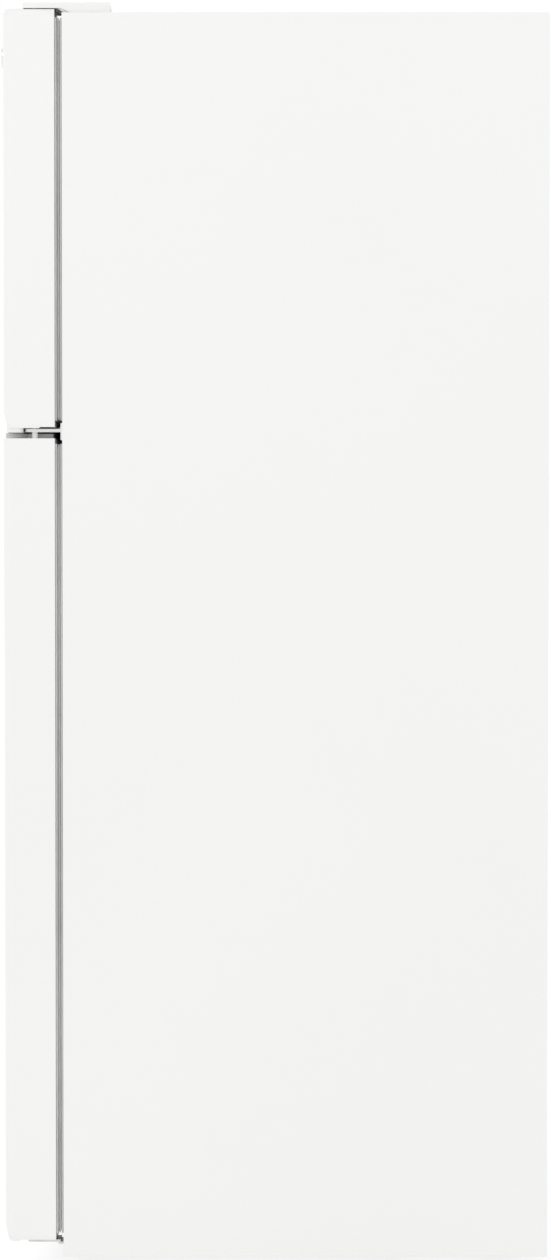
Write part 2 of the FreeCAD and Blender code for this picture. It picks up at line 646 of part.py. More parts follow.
def fridge_top_cap():
    """Closes the fridge door above; its raised land is cut back round the hinge."""
    z = (FRIDGE_DOOR_Z[1], UPPER_CAP_Z)
    cap = door_block(DOOR_HALF, (DOOR_FRONT_Y, DOOR_REAR_Y), z)
    front, rear = DOOR_FRONT_Y + 2.5, DOOR_REAR_Y - 4
    outline = [(UPPER_LAND_INSET - DOOR_HALF, front), (DOOR_HALF - 9, front), (DOOR_HALF - 12, front + 3),
               (HINGE_RELIEF_X, PIN_Y - 11), (HINGE_RELIEF_X, rear), (UPPER_LAND_INSET - DOOR_HALF, rear)]
    corners = [Vec(x, y, z[0]) for x, y in outline]
    land = Part.Face(Part.makePolygon(corners + corners[:1])).extrude(Vec(0, 0, UPPER_LAND_TOP_Z - z[0]))
    cap = fuse([cap, land, bearing_block((z[0] - 14, z[0] + 1))])
    return cap.cut(pin_hole((z[0] - 10, z[1] + 20)))


def bottom_end_cap():
    """Closes the fridge door below, with a shallow pocket for the hinge plate."""
    z = (FRIDGE_DOOR_BOTTOM_Z, FRIDGE_DOOR_Z[0])
    cap = door_block(DOOR_HALF, (DOOR_FRONT_Y + TUCK[0], DOOR_REAR_Y), z)
    cap = round_edges(cap, 5.5, lambda c, e: c.y < DOOR_FRONT_Y + TUCK[0] + 0.1 and abs(c.z - z[0]) < 0.1)
    pocket = box((PIN_X - 24, DOOR_HALF + 1), (PIN_Y - 22, DOOR_REAR_Y + 1), (z[0] - 1, z[0] + HINGE_POCKET))
    cap = fuse([cap.cut(pocket), bearing_block((z[1] - 1, z[1] + 14))])
    return cap.cut(pin_hole((z[0] - 1, z[1] + 10)))


def gasket(z):
    """Magnetic seal: base, waist and magnet pocket."""
    half = HALF_WIDTH - GASKET_INSET
    y0, y1 = DOOR_REAR_Y, CABINET_FRONT_Y - GASKET_CLEAR
    layers = [(0, 2.6, 1.0), (2.6, 4.2, 4.0), (4.2, 6.0, 1.5), (6.0, 7.0, 3.5), (7.0, y1 - y0, 0.0)]
    rings = []
    for start, end, inset in layers:
        ring_z = (z[0] + inset, z[1] - inset)
        rings.append(frame_xz(half - inset, ring_z, (y0 + start, y0 + end), GASKET_WIDTH - 2 * inset))
    return fuse(rings)


def door_bin(half, z):
    """Open tray between the dykes, with a taller rounded front rail."""
    y = (DOOR_REAR_Y + 0.2, BIN_REAR_Y)
    inner_x = (BIN_WALL - half, half - BIN_WALL)
    inner_y = (y[0] + BIN_WALL, y[1] - BIN_WALL)
    short = 2 * half - 30
    outer = box((-half, half), y, z)
    outer = round_edges(outer, 10, lambda c, e: abs(c.y - y[1]) < 0.1 and e.Length < short)
    hollow = box(inner_x, inner_y, (z[0] + BIN_WALL, z[1] + 1))
    hollow = round_edges(hollow, 8, lambda c, e: abs(c.y - inner_y[1]) < 0.1 and e.Length < short)
    back_drop = box(inner_x, (y[0] - 1, inner_y[0] + 1), (z[0] + 30, z[1] + 1))
    return outer.cut(hollow).cut(back_drop)


def dairy_box():
    """Compartment at the top of the door, open to the rear, with ears for its lid."""
    half = FRIDGE_BIN_HALF
    y0, y1 = DOOR_REAR_Y + 0.2, DAIRY_LID_Y + 4.5
    z0, z1 = DAIRY_Z
    outer = box((-half, half), (y0, y1), (z0, z1))
    hollow = box((BIN_WALL - half, half - BIN_WALL), (y0 + BIN_WALL, y1 + 1), (z0 + BIN_WALL, z1 - BIN_WALL))
    sweep = box((BIN_WALL - half, half - BIN_WALL), (DAIRY_LID_Y - 5, y1 + 1), (z0 - 1, z1 + 1))
    pivots = rod(2.06, 2 * half + 2, (-half - 1, DAIRY_LID_Y, DAIRY_PIVOT_Z), X_AXIS)
    return outer.cut(hollow).cut(sweep).cut(pivots)


def dairy_lid():
    """Flap with stub axles and a finger ledge."""
    half = FRIDGE_BIN_HALF - BIN_WALL - 0.4
    y = (DAIRY_LID_Y - 1.2, DAIRY_LID_Y + 1.2)
    plate = box((-half, half), y, (DAIRY_Z[0] + 1, DAIRY_PIVOT_Z))
    barrel = rod(3.4, 2 * half, (-half, DAIRY_LID_Y, DAIRY_PIVOT_Z), X_AXIS)
    pull = box((-45, 45), (y[1] - 0.5, y[1] + 7), (DAIRY_Z[0] + 8, DAIRY_Z[0] + 11))
    stubs = rod(2.0, 2 * half + 4, (-half - 2, DAIRY_LID_Y, DAIRY_PIVOT_Z), X_AXIS)
    return fuse([plate, barrel, pull, stubs])


def badge():
    """Plain round boss with a rim, near the upper corner of the freezer door."""
    start = (BADGE_XZ[0], DOOR_FRONT_Y, BADGE_XZ[1])
    disc = rod(BADGE_RADIUS, BADGE_PROUD, start, -Y_AXIS)
    disc = round_edges(disc, 0.8, lambda c, e: c.y < DOOR_FRONT_Y - 1)
    field = rod(BADGE_RADIUS - 2, 1, (start[0], DOOR_FRONT_Y - BADGE_PROUD + 0.6, start[2]), -Y_AXIS)
    return disc.cut(field)


# ---------------------------------------------------------------------- hinges

def top_hinge():
    """Strap on the cabinet top that steps up over the door, with a pin down into it."""
    rise, low = FREEZER_DOOR_TOP_Z + 0.9, CABINET_TOP_Z
    t = HINGE_PLATE
    y = (PIN_Y - 11, CABINET_FRONT_Y - 7.1, CABINET_FRONT_Y + 3.9, CABINET_FRONT_Y + 60)
    outline = [(y[0], rise), (y[1], rise), (y[2], low), (y[3], low), (y[3], low + t), (y[2] + 1, low + t),
               (y[1] + 1, rise + t), (y[0], rise + t)]
    strap = prism_x(outline, (318, 348.6))
    strap = round_edges(strap, 8, lambda c, e: abs(c.y - y[0]) < 0.1 and abs(e.Length - t) < 0.1)
    pin = rod(PIN_RADIUS, 20, (PIN_X, PIN_Y, rise + t - 20), Z_AXIS)
    return fuse([strap, pin])


def hinge_cover_outline(grow):
    """(y, z) side outline of the cover; the inside when grown by minus its wall."""
    y0, y1 = DOOR_FRONT_Y + 26.3 - grow, DOOR_FRONT_Y + 141.7 + grow
    low_front = FREEZER_DOOR_TOP_Z + 0.4
    low = CABINET_TOP_Z
    top = COVER_TOP_Z + grow
    open_below = min(grow, 0)
    return [
        (y0, low_front + open_below),
        (CABINET_FRONT_Y - 2, low_front + open_below),
        (CABINET_FRONT_Y + 12.5, low + open_below),
        (y1, low + open_below),
        (y1, top - 0.8),
        (y1 - 0.8, top),
        (y0 + 1.2, top),
        (y0, top - 1.2),
    ]


def top_hinge_cover():
    """Moulded cap over the top hinge."""
    wall = 1.5
    outer = prism_x(hinge_cover_outline(0), (292, 350.5))
    outer = round_edges(outer, 1.2, lambda c, e: abs(c.z - COVER_TOP_Z) < 0.1 and e.Length > 60)
    inner = prism_x(hinge_cover_outline(-wall), (292 + wall, 350.5 - wall))
    return outer.cut(inner)


def centre_hinge():
    """Flange on the divider rail, a plate forward, and one pin each way."""
    z = CENTRE_PLATE_Z
    flange = box((300, 351), (CABINET_FRONT_Y - 2.6, CABINET_FRONT_Y), CENTRE_FLANGE_Z)
    plate = box((PIN_X - 18, PIN_X + 6), (DOOR_FRONT_Y + 28, CABINET_FRONT_Y), z)
    plate = round_edges(plate, 6, lambda c, e: abs(c.y - DOOR_FRONT_Y - 28) < 0.1 and e.Length < 5)
    gusset_line = [(CABINET_FRONT_Y - 8, z[1]), (CABINET_FRONT_Y - 2, z[1]), (CABINET_FRONT_Y - 2, z[1] + 8)]
    gusset = prism_x(gusset_line, (PIN_X - 18, PIN_X - 15))
    pins = rod(PIN_RADIUS, z[1] - z[0] + 28, (PIN_X, PIN_Y, z[0] - 14), Z_AXIS)
    return fuse([flange, plate, gusset, pins])


def bottom_hinge():
    """Stepped bracket with the lower pin; its plate lies in the door's pocket."""
    high = (FRIDGE_DOOR_BOTTOM_Z - 1.4, FRIDGE_DOOR_BOTTOM_Z - 1.4 + HINGE_PLATE)
    low = (high[0] - HINGE_PLATE + 0.2, high[0] + 0.2)
    x = (PIN_X - 20, PIN_X + 6.5)
    step_y = (CABINET_FRONT_Y - 7.5, CABINET_FRONT_Y - 4.5)
    plate = box(x, (PIN_Y - 11, step_y[1]), high)
    plate = round_edges(plate, 6, lambda c, e: abs(c.y - PIN_Y + 11) < 0.1 and e.Length < 4)
    step = box(x, step_y, (low[0], high[1]))
    arm = box(x, (step_y[0], FRAME_FRONT_Y), low)
    flange = box((PIN_X - 50, x[1]), (FRAME_FRONT_Y - 3, FRAME_FRONT_Y), (13, low[1]))
    pin = rod(PIN_RADIUS, high[1] - high[0] + 14, (PIN_X, PIN_Y, high[0]), Z_AXIS)
    return fuse([plate, step, arm, flange, pin])


def screw_places():
    """(head seat, direction from the shank's tip to the head) of every screw."""
    places = [((x, CABINET_FRONT_Y + 42, CABINET_TOP_Z + HINGE_PLATE), Z_AXIS) for x in (324, 342)]
    places.append(((333, CABINET_FRONT_Y + 20, CABINET_TOP_Z + HINGE_PLATE), Z_AXIS))
    places += [((x, CABINET_FRONT_Y - 2.6, z), -Y_AXIS) for x, z in ((307, 1107), (307, 1119), (316, 1113))]
    places += [((x, FRAME_FRONT_Y - 3, 19.5), -Y_AXIS) for x in (297, 311)]
    for x in (-347, 347):
        places += [((x, SHELL_REAR_Y + SHEET, z), Y_AXIS) for z in (40, 215)]
    places += [((x, SHELL_REAR_Y + SHEET, 234), Y_AXIS) for x in (-120, 120)]
    return places


def screws():
    """Pan-head screws, all of one size."""
    pieces = []
    for seat, axis in screw_places():
        head = rod(SCREW_HEAD_RADIUS, 1.5, seat, axis)
        shank = rod(SCREW_RADIUS, 8, Vec(*seat) - axis * 8, axis)
        slot = Part.makeBox(6, 1, 1, Vec(-3, -0.5, 0.9))
        slots = slot.fuse(slot.rotated(Vec(0, 0, 0), Z_AXIS, 90))
        slots.Placement = FreeCAD.Placement(Vec(*seat), FreeCAD.Rotation(Z_AXIS, axis))
        pieces.append(head.fuse(shank).cut(slots).removeSplitter())
    return Part.makeCompound(pieces)


def drill(shape):
    """Take the screw holes out of a piece that screws pass through."""
    holes = []
    for seat, axis in screw_places():
        holes.append(rod(SCREW_RADIUS + 0.1, 9.9, Vec(*seat) - axis * 8.2, axis))
    return shape.cut(holes)


# ------------------------------------------------- base frame and feet

def base_frame():
    """Side angles, front channel with leg nuts, machine tray and roller brackets."""
    z0, z1 = SIDE_BOTTOM_Z + 0.2, FRAME_TOP_Z
    wide = HALF_WIDTH - SHEET - 0.1
    pieces = []
    for side in (-1, 1):
        pieces.append(box(sorted((side * (wide - 2), side * wide)), (FRAME_FRONT_Y, 355), (z0, z1)))
        pieces.append(box(sorted((side * (wide - 22), side * wide)), (FRAME_FRONT_Y, 355), (z0, z0 + 2)))
        x = side * FOOT_X
        pieces.append(rod(12, z1 - 14, (x, FOOT_Y, 14), Z_AXIS))
        for offset in (-13, 11):
            ear_x = (side * ROLLER_X + offset, side * ROLLER_X + offset + 2)
            pieces.append(box(ear_x, (ROLLER_Y - 15, ROLLER_Y + 15), (12, TRAY_Z + 16)))
    pieces.append(box((-wide, wide), (FRAME_FRONT_Y, FOOT_Y + 25), (z1 - 3, z1)))
    pieces.append(box((-wide, wide), (FRAME_FRONT_Y, FRAME_FRONT_Y + 2), (12, z1)))
    tray = box((-wide, wide), (MACHINE_FRONT_Y + 2, 355), (TRAY_Z, TRAY_Z + 2))
    frame = fuse(pieces + [tray])
    cuts = []
    for side in (-1, 1):
        cuts.append(rod(5.06, 60, (side * FOOT_X, FOOT_Y, 0), Z_AXIS))
        slot_x = (side * ROLLER_X - 11, side * ROLLER_X + 11)
        cuts.append(box(slot_x, (ROLLER_Y - 22, ROLLER_Y + 22), (0, 60)))
    frame = frame.cut(cuts)
    axles = [rod(4, 30, (side * ROLLER_X - 15, ROLLER_Y, ROLLER_RADIUS), X_AXIS) for side in (-1, 1)]
    return fuse([frame] + axles)


def levelling_leg(side):
    """Threaded stem with a hexagon and a round foot."""
    x = side * FOOT_X
    foot = rod(17, 6, (x, FOOT_Y, 0), Z_AXIS)
    foot = foot.makeFillet(2, [e for e in foot.Edges if abs(e.CenterOfMass.z - 6) < 0.1])
    corners = [Vec(x + 10 * math.cos(math.radians(a)), FOOT_Y + 10 * math.sin(math.radians(a)), 5)
               for a in range(0, 360, 60)]
    nut = Part.Face(Part.makePolygon(corners + corners[:1])).extrude(Vec(0, 0, 7))
    stem = rod(5, FRAME_TOP_Z - 1.5, (x, FOOT_Y, 0), Z_AXIS)
    return fuse([foot, nut, stem])


def rear_roller(side):
    """Wheel with its axle."""
    x = side * ROLLER_X
    wheel = rod(ROLLER_RADIUS, 20, (x - 10, ROLLER_Y, ROLLER_RADIUS), X_AXIS)
    wheel = wheel.makeFillet(2, [e for e in wheel.Edges if e.Length > 100])
    wheel = wheel.cut(rod(4 + RUNNING_FIT, 22, (x - 11, ROLLER_Y, ROLLER_RADIUS), X_AXIS))
    grooves = []
    for face_x in (x - 11, x + 7):
        grooves.append(ring(13, 7.5, 4, (face_x, ROLLER_Y, ROLLER_RADIUS), X_AXIS))
    return wheel.cut(grooves)


def base_grille():
    """Slotted plinth between the feet, set back behind the cabinet front."""
    y = (CABINET_FRONT_Y + 2, CABINET_FRONT_Y + 5)
    x = (-HALF_WIDTH + 4, PIN_X - 55)
    plate = box(x, y, (SIDE_BOTTOM_Z + 1, FRAME_TOP_Z - 0.2))
    slots = []
    for i in range(22):
        x0 = x[0] + 20 + i * 27
        for z in (15, 21):
            slots.append(box((x0, x0 + 20), (y[0] - 1, y[1] + 1), (z, z + 3)))
    tabs = [box((t - 8, t + 8), (y[1] - 0.5, FRAME_FRONT_Y), (13, 16)) for t in (x[0] + 30, 0, x[1] - 40)]
    return fuse([plate.cut(slots)] + tabs)


# --------------------------------------------------------- machine compartment

def compressor():
    """Sealed pot with a welded seam, process stub and a foot plate."""
    x, y = COMPRESSOR_XY
    z = TRAY_Z + 14
    pot = rod(60, 150, (x, y, z + 3), Z_AXIS)
    pot = pot.makeFillet(34, [e for e in pot.Edges if e.Length > 300])
    seam = ring(62.5, 55, 4, (x, y, z + 78), Z_AXIS)
    feet = box((x - 88, x + 88), (y - 45, y + 45), (z, z + 3))
    feet = round_edges(feet, 14, lambda c, e: abs(e.Length - 3) < 0.1)
    feet = feet.cut([rod(5.2, 9, (px, py, z - 3), Z_AXIS) for px, py in grommet_places()])
    foot_web = rod(40, 30, (x, y, z + 1), Z_AXIS)
    stub = rod(3, 30, (x + 20, y + 54, z + 100), Y_AXIS)
    return fuse([pot, seam, feet, foot_web, stub])


def grommet_places():
    """Centres of the four compressor feet."""
    x, y = COMPRESSOR_XY
    return [(x + sx * 76, y + sy * 33) for sx in (-1, 1) for sy in (-1, 1)]


def compressor_grommets():
    """Rubber mounts: a wide foot under the plate and a neck through it."""
    pieces = []
    for x, y in grommet_places():
        foot = rod(11, 12, (x, y, TRAY_Z + 2), Z_AXIS)
        neck = rod(5.2, 17, (x, y, TRAY_Z + 2), Z_AXIS)
        top = rod(8, 3, (x, y, TRAY_Z + 17), Z_AXIS)
        bore = rod(3, 30, (x, y, TRAY_Z), Z_AXIS)
        pieces.append(fuse([foot, neck, top]).cut(bore))
    return Part.makeCompound(pieces)


def start_relay_box():
    """Cover over the compressor's terminals."""
    x, y = COMPRESSOR_XY
    body = box((x + 50, x + 80), (y - 24, y + 24), (100, 152))
    body = round_edges(body, 4, lambda c, e: abs(c.x - x - 80) < 0.1)
    return body.cut(compressor()).cut(rod(62.6, 60, (x, y, 90), Z_AXIS))


def condenser_coil():
    """Folded tube between plate fins."""
    x = (75, 285)
    y = (190, 320)
    z = (48, 208)
    tubes = []
    for row in range(5):
        for column in range(4):
            place = (x[0], y[0] + 20 + column * 30, z[0] + 16 + row * 32)
            tubes.append(rod(3, x[1] - x[0], place, X_AXIS))
    fins = []
    for i in range(22):
        fin_x = x[0] + i * (x[1] - x[0] - 0.8) / 21
        fins.append(box((fin_x, fin_x + 0.8), y, z))
    feet = [box((x[0], x[0] + 1.5), y, (42, z[0] + 1)), box((x[1] - 1.5, x[1]), y, (42, z[0] + 1))]
    return fuse(tubes + fins + feet)


def drain_pan():
    """Shallow tray that catches and boils off the defrost water."""
    outer = box((66, 284), (182, 330), (TRAY_Z + 2.2, 41.8))
    outer = round_edges(outer, 8, lambda c, e: abs(c.z - 30.5) < 1 and e.Length < 30)
    hollow = box((68, 282), (184, 328), (TRAY_Z + 4.2, 60))
    hollow = round_edges(hollow, 6, lambda c, e: abs(c.z - 40) < 12 and e.Length < 45)
    return outer.cut(hollow)


def condenser_fan():
    """Fan that draws air over the condenser."""
    x = CONDENSER_FAN_X
    return fan_blades(56, 15, (x, FAN_Y, FAN_Z), X_AXIS, 16).cut(rod(2.56, 13, (x - 1, FAN_Y, FAN_Z), X_AXIS))


def condenser_fan_motor():
    """Motor on a post from the tray, with the shaft that carries the fan."""
    x = CONDENSER_FAN_X - 40
    can = rod(20, 32, (x, FAN_Y, FAN_Z), X_AXIS)
    shaft = rod(2.5, 50, (x, FAN_Y, FAN_Z), X_AXIS)
    post = box((x + 8, x + 11), (FAN_Y - 12, FAN_Y + 12), (TRAY_Z + 2, FAN_Z))
    foot = box((x + 8, x + 30), (FAN_Y - 12, FAN_Y + 12), (TRAY_Z + 2, TRAY_Z + 4))
    return fuse([can, shaft, post, foot])


def machine_cover():
    """Rear cover with rows of breathing slots."""
    half = HALF_WIDTH - 3
    y = (SHELL_REAR_Y, SHELL_REAR_Y + SHEET)
    plate = box((-half, half), y, (TRAY_Z + 3, MACHINE_TOP_Z + 16))
    slots = []
    for x0 in (-290, 70):
        for row in range(9):
            z = 60 + row * 15
            slots.append(box((x0, x0 + 200), (y[0] - 1, y[1] + 1), (z, z + 6)))
    hole = rod(9, 6, (INLET_X, y[0] - 2, INLET_Z), Y_AXIS)
    return plate.cut(slots).cut(hole)


def power_inlet():
    """Bushing in the rear cover where the supply lead would enter."""
    y = SHELL_REAR_Y + SHEET
    flange = ring(13, 4.5, 1.6, (INLET_X, y, INLET_Z), Y_AXIS)
    neck = ring(9, 4.5, 12, (INLET_X, y - 12, INLET_Z), Y_AXIS)
    return fuse([flange, neck])


# ------------------------------------------------------------------------ main

def cabinet_pieces():
    """Everything fixed to the cabinet."""
    return {
        "left_side_panel": drill(side_panel(-1)),
        "right_side_panel": drill(side_panel(1)),
        "top_panel": drill(top_panel()),
        "back_panel": drill(back_panel()),
        "bottom_deck": bottom_deck(),
        "cabinet_foam": drill(cabinet_foam()),
        "freezer_liner": freezer_liner(),
        "fresh_food_liner": fresh_food_liner(),
        "mullion_trim": drill(mullion_trim()),
        "shelf_frames": shelf_frames(),
        "shelf_glass": shelf_glass(),
        "control_housing": control_housing(),
        "lamp": lamp(),
        "freezer_shelf": freezer_shelf(),
        "evaporator_cover": evaporator_cover(),
        "evaporator_coil": evaporator_coil(),
        "evaporator_fan_motor": evaporator_fan_motor(),
        "top_hinge": drill(top_hinge()),
        "top_hinge_cover": top_hinge_cover(),
        "centre_hinge": drill(centre_hinge()),
        "bottom_hinge": drill(bottom_hinge()),
        "screws": screws(),
        "base_frame": drill(base_frame()),
        "base_grille": base_grille(),
        "compressor": compressor(),
        "compressor_grommets": compressor_grommets(),
        "start_relay_box": start_relay_box(),
        "condenser_coil": condenser_coil(),
        "condenser_fan_motor": condenser_fan_motor(),
        "drain_pan": drain_pan(),
        "machine_cover": drill(machine_cover()),
        "power_inlet": power_inlet(),
    }


def moving_pieces():
    """Pieces with joints of their own."""
    return {
        "evaporator_fan": evaporator_fan(),
        "condenser_fan": condenser_fan(),
        "fridge_dial": fridge_dial(),
        "light_switch_plunger": light_switch_plunger(),
        "left_crisper": crisper(-1),
        "right_crisper": crisper(1),
        "left_levelling_leg": levelling_leg(-1),
        "right_levelling_leg": levelling_leg(1),
        "left_rear_roller": rear_roller(-1),
        "right_rear_roller": rear_roller(1),
        "dairy_lid": dairy_lid(),
    }


def freezer_door_pieces():
    """Everything that swings with the freezer door."""
    z = FREEZER_DOOR_Z
    bearings = [bearing_block((z[0] - 1, z[0] + 14)), bearing_block((z[1] - 14, z[1] + 1))]
    bins = [door_bin(FREEZER_BIN_HALF, bin_z) for bin_z in FREEZER_BIN_Z]
    return {
        "freezer_door_skin": door_skin(z, FREEZER_HANDLE_Z),
        "freezer_door_inner_panel": door_inner_panel(z, FREEZER_DYKE_HALF, FREEZER_DYKE_Z),
        "freezer_door_foam": door_foam(z, FREEZER_DYKE_HALF, FREEZER_DYKE_Z, FREEZER_HANDLE_Z, bearings),
        "freezer_door_top_cap": top_end_cap(),
        "freezer_door_bottom_cap": lower_end_cap(),
        "freezer_door_gasket": gasket(FREEZER_GASKET_Z),
        "freezer_door_handle": door_handle(FREEZER_HANDLE_Z),
        "freezer_door_bins": Part.makeCompound(bins),
        "badge": badge(),
    }


def fridge_door_pieces():
    """Everything that swings with the fresh food door."""
    z = FRIDGE_DOOR_Z
    bearings = [bearing_block((z[0] - 1, z[0] + 14)), bearing_block((z[1] - 14, z[1] + 1))]
    bins = [door_bin(FRIDGE_BIN_HALF, bin_z) for bin_z in FRIDGE_BIN_Z]
    return {
        "fridge_door_skin": door_skin(z, FRIDGE_HANDLE_Z),
        "fridge_door_inner_panel": door_inner_panel(z, FRIDGE_DYKE_HALF, FRIDGE_DYKE_Z),
        "fridge_door_foam": door_foam(z, FRIDGE_DYKE_HALF, FRIDGE_DYKE_Z, FRIDGE_HANDLE_Z, bearings),
        "fridge_door_top_cap": fridge_top_cap(),
        "fridge_door_bottom_cap": bottom_end_cap(),
        "fridge_door_gasket": gasket(FRIDGE_GASKET_Z),
        "fridge_door_handle": door_handle(FRIDGE_HANDLE_Z),
        "fridge_door_bins": Part.makeCompound(bins + [dairy_box()]),
    }


os.makedirs("parts", exist_ok=True)
for make in (cabinet_pieces, moving_pieces, freezer_door_pieces, fridge_door_pieces):
    for node, shape in make().items():
        export(node, shape)
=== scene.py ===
import json
import math

import bmesh
import bpy
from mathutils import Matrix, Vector


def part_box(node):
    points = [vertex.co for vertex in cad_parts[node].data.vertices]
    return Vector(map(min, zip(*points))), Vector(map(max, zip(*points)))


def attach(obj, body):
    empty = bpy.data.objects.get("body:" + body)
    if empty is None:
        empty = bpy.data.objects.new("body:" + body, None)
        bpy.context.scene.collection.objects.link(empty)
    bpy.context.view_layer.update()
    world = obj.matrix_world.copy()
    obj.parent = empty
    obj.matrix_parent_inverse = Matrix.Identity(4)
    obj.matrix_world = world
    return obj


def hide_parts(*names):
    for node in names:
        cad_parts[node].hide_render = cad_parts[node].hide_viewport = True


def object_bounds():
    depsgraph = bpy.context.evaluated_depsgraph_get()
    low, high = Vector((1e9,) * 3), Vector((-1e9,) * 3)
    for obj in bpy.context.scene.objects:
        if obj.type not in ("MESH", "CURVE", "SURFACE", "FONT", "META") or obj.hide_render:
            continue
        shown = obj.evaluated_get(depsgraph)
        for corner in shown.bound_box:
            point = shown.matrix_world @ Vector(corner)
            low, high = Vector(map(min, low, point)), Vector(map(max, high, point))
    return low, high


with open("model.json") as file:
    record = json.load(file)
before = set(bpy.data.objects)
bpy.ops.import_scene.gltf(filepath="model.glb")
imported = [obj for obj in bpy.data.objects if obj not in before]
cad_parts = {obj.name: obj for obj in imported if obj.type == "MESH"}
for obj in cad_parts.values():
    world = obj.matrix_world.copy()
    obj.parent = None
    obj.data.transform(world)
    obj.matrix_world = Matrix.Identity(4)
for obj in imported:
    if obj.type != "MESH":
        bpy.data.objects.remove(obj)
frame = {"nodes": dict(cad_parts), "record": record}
cad_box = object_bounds()

# Camera, in metres: square to the hinge side, a little above its middle and tipped slightly down
CAMERA_DISTANCE = 4.0
CAMERA_HEIGHT = 0.9446
AIM_HEIGHT = 0.8488
AIM_Y = 0.0005
FRAME_HEIGHT_AT_SIDE = 1.6764
SENSOR_MM = 36.0

FLOOR_TONE = 0.28
FLOOR_DRIFT = 0.02
FLOOR_GLOW = 0.78
FLOOR_HALF_SIZE = 30
WORLD_STRENGTH = 1.0


# ------------------------------------------------------------------- materials

def new_material(name):
    """A node material, its tree, its shader and the object's own coordinates."""
    material = bpy.data.materials.new(name)
    material.use_nodes = True
    tree = material.node_tree
    shader = tree.nodes["Principled BSDF"]
    place = tree.nodes.new("ShaderNodeTexCoord")
    return material, tree, shader, place.outputs["Object"]


def noise(tree, where, scale, detail=3.0, roughness=0.5, stretch=None):
    """Noise over the object's own metres; stretch draws it out along an axis."""
    if stretch:
        mapping = tree.nodes.new("ShaderNodeMapping")
        mapping.inputs["Scale"].default_value = stretch
        tree.links.new(where, mapping.inputs["Vector"])
        where = mapping.outputs["Vector"]
    node = tree.nodes.new("ShaderNodeTexNoise")
    node.inputs["Scale"].default_value = scale
    node.inputs["Detail"].default_value = detail
    node.inputs["Roughness"].default_value = roughness
    tree.links.new(where, node.inputs["Vector"])
    return node.outputs["Fac"]


def cells(tree, where, scale):
    """Voronoi cells over the object's own metres."""
    node = tree.nodes.new("ShaderNodeTexVoronoi")
    node.inputs["Scale"].default_value = scale
    tree.links.new(where, node.inputs["Vector"])
    return node


def ramp(tree, value, stops):
    """Colour ramp from (position, colour) stops; a number stands for a grey."""
    node = tree.nodes.new("ShaderNodeValToRGB")
    elements = node.color_ramp.elements
    while len(elements) < len(stops):
        elements.new(0.5)
    for element, (position, colour) in zip(elements, stops):
        element.position = position
        if isinstance(colour, (int, float)):
            colour = (colour, colour, colour)
        element.color = (*colour, 1.0)
    tree.links.new(value, node.inputs["Fac"])
    return node.outputs["Color"]


def span(tree, value, low, high):
    """Map a 0 to 1 value onto low to high."""
    node = tree.nodes.new("ShaderNodeMapRange")
    node.inputs["To Min"].default_value = low
    node.inputs["To Max"].default_value = high
    tree.links.new(value, node.inputs["Value"])
    return node.outputs["Result"]


def bump(tree, shader, heights):
    """Stack (height, strength, depth in metres) bumps into the shader's normal."""
    last = None
    for height, strength, distance in heights:
        node = tree.nodes.new("ShaderNodeBump")
        node.inputs["Strength"].default_value = strength
        node.inputs["Distance"].default_value = distance
        tree.links.new(height, node.inputs["Height"])
        if last:
            tree.links.new(last, node.inputs["Normal"])
        last = node.outputs["Normal"]
    tree.links.new(last, shader.inputs["Normal"])


def shade(colour, amount):
    """The colour made lighter or darker, kept within 0 to 1."""
    return tuple(max(0.0, min(1.0, c * amount)) for c in colour)


def mottled(tree, where, colour, spread, scale):
    """The colour, drifting a little lighter and darker over the surface."""
    drift = noise(tree, where, scale, 4.0)
    stops = [(0.3, shade(colour, 1 - spread)), (0.5, colour), (0.7, shade(colour, 1 + spread))]
    return ramp(tree, drift, stops)


def painted_steel(name, colour, rough):
    """Baked enamel: faint orange peel, slow drift in tone and in gloss."""
    material, tree, shader, where = new_material(name)
    tree.links.new(mottled(tree, where, colour, 0.006, 2.2), shader.inputs["Base Color"])
    gloss = noise(tree, where, 30, 4)
    tree.links.new(span(tree, gloss, rough - 0.06, rough + 0.06), shader.inputs["Roughness"])
    shader.inputs["Coat Weight"].default_value = 0.25
    shader.inputs["Coat Roughness"].default_value = 0.12
    peel = noise(tree, where, 420, 2)
    wave = noise(tree, where, 9, 1)
    bump(tree, shader, [(peel, 0.12, 0.0002), (wave, 0.1, 0.0015)])
    return material


def moulded_plastic(name, colour, rough, grain=900, depth=0.12):
    """Injection moulding with a fine spark-eroded grain and soft flow marks."""
    material, tree, shader, where = new_material(name)
    tree.links.new(mottled(tree, where, colour, 0.015, 14), shader.inputs["Base Color"])
    gloss = noise(tree, where, 60, 4)
    tree.links.new(span(tree, gloss, rough - 0.07, rough + 0.07), shader.inputs["Roughness"])
    shader.inputs["Subsurface Weight"].default_value = 0.04
    shader.inputs["Subsurface Radius"].default_value = (0.004, 0.004, 0.003)
    fine = cells(tree, where, grain).outputs["Distance"]
    flow = noise(tree, where, 35, 2, stretch=(1, 1, 0.3))
    bump(tree, shader, [(fine, depth, 0.0001), (flow, 0.05, 0.0004)])
    return material


def formed_sheet(name, colour):
    """Vacuum-formed liner sheet: satin, slightly wavy where it thinned."""
    material, tree, shader, where = new_material(name)
    tree.links.new(mottled(tree, where, colour, 0.012, 5), shader.inputs["Base Color"])
    tree.links.new(span(tree, noise(tree, where, 18, 3), 0.24, 0.4), shader.inputs["Roughness"])
    ripple = noise(tree, where, 26, 2)
    pebble = noise(tree, where, 700, 2)
    bump(tree, shader, [(ripple, 0.12, 0.0012), (pebble, 0.08, 0.0001)])
    return material


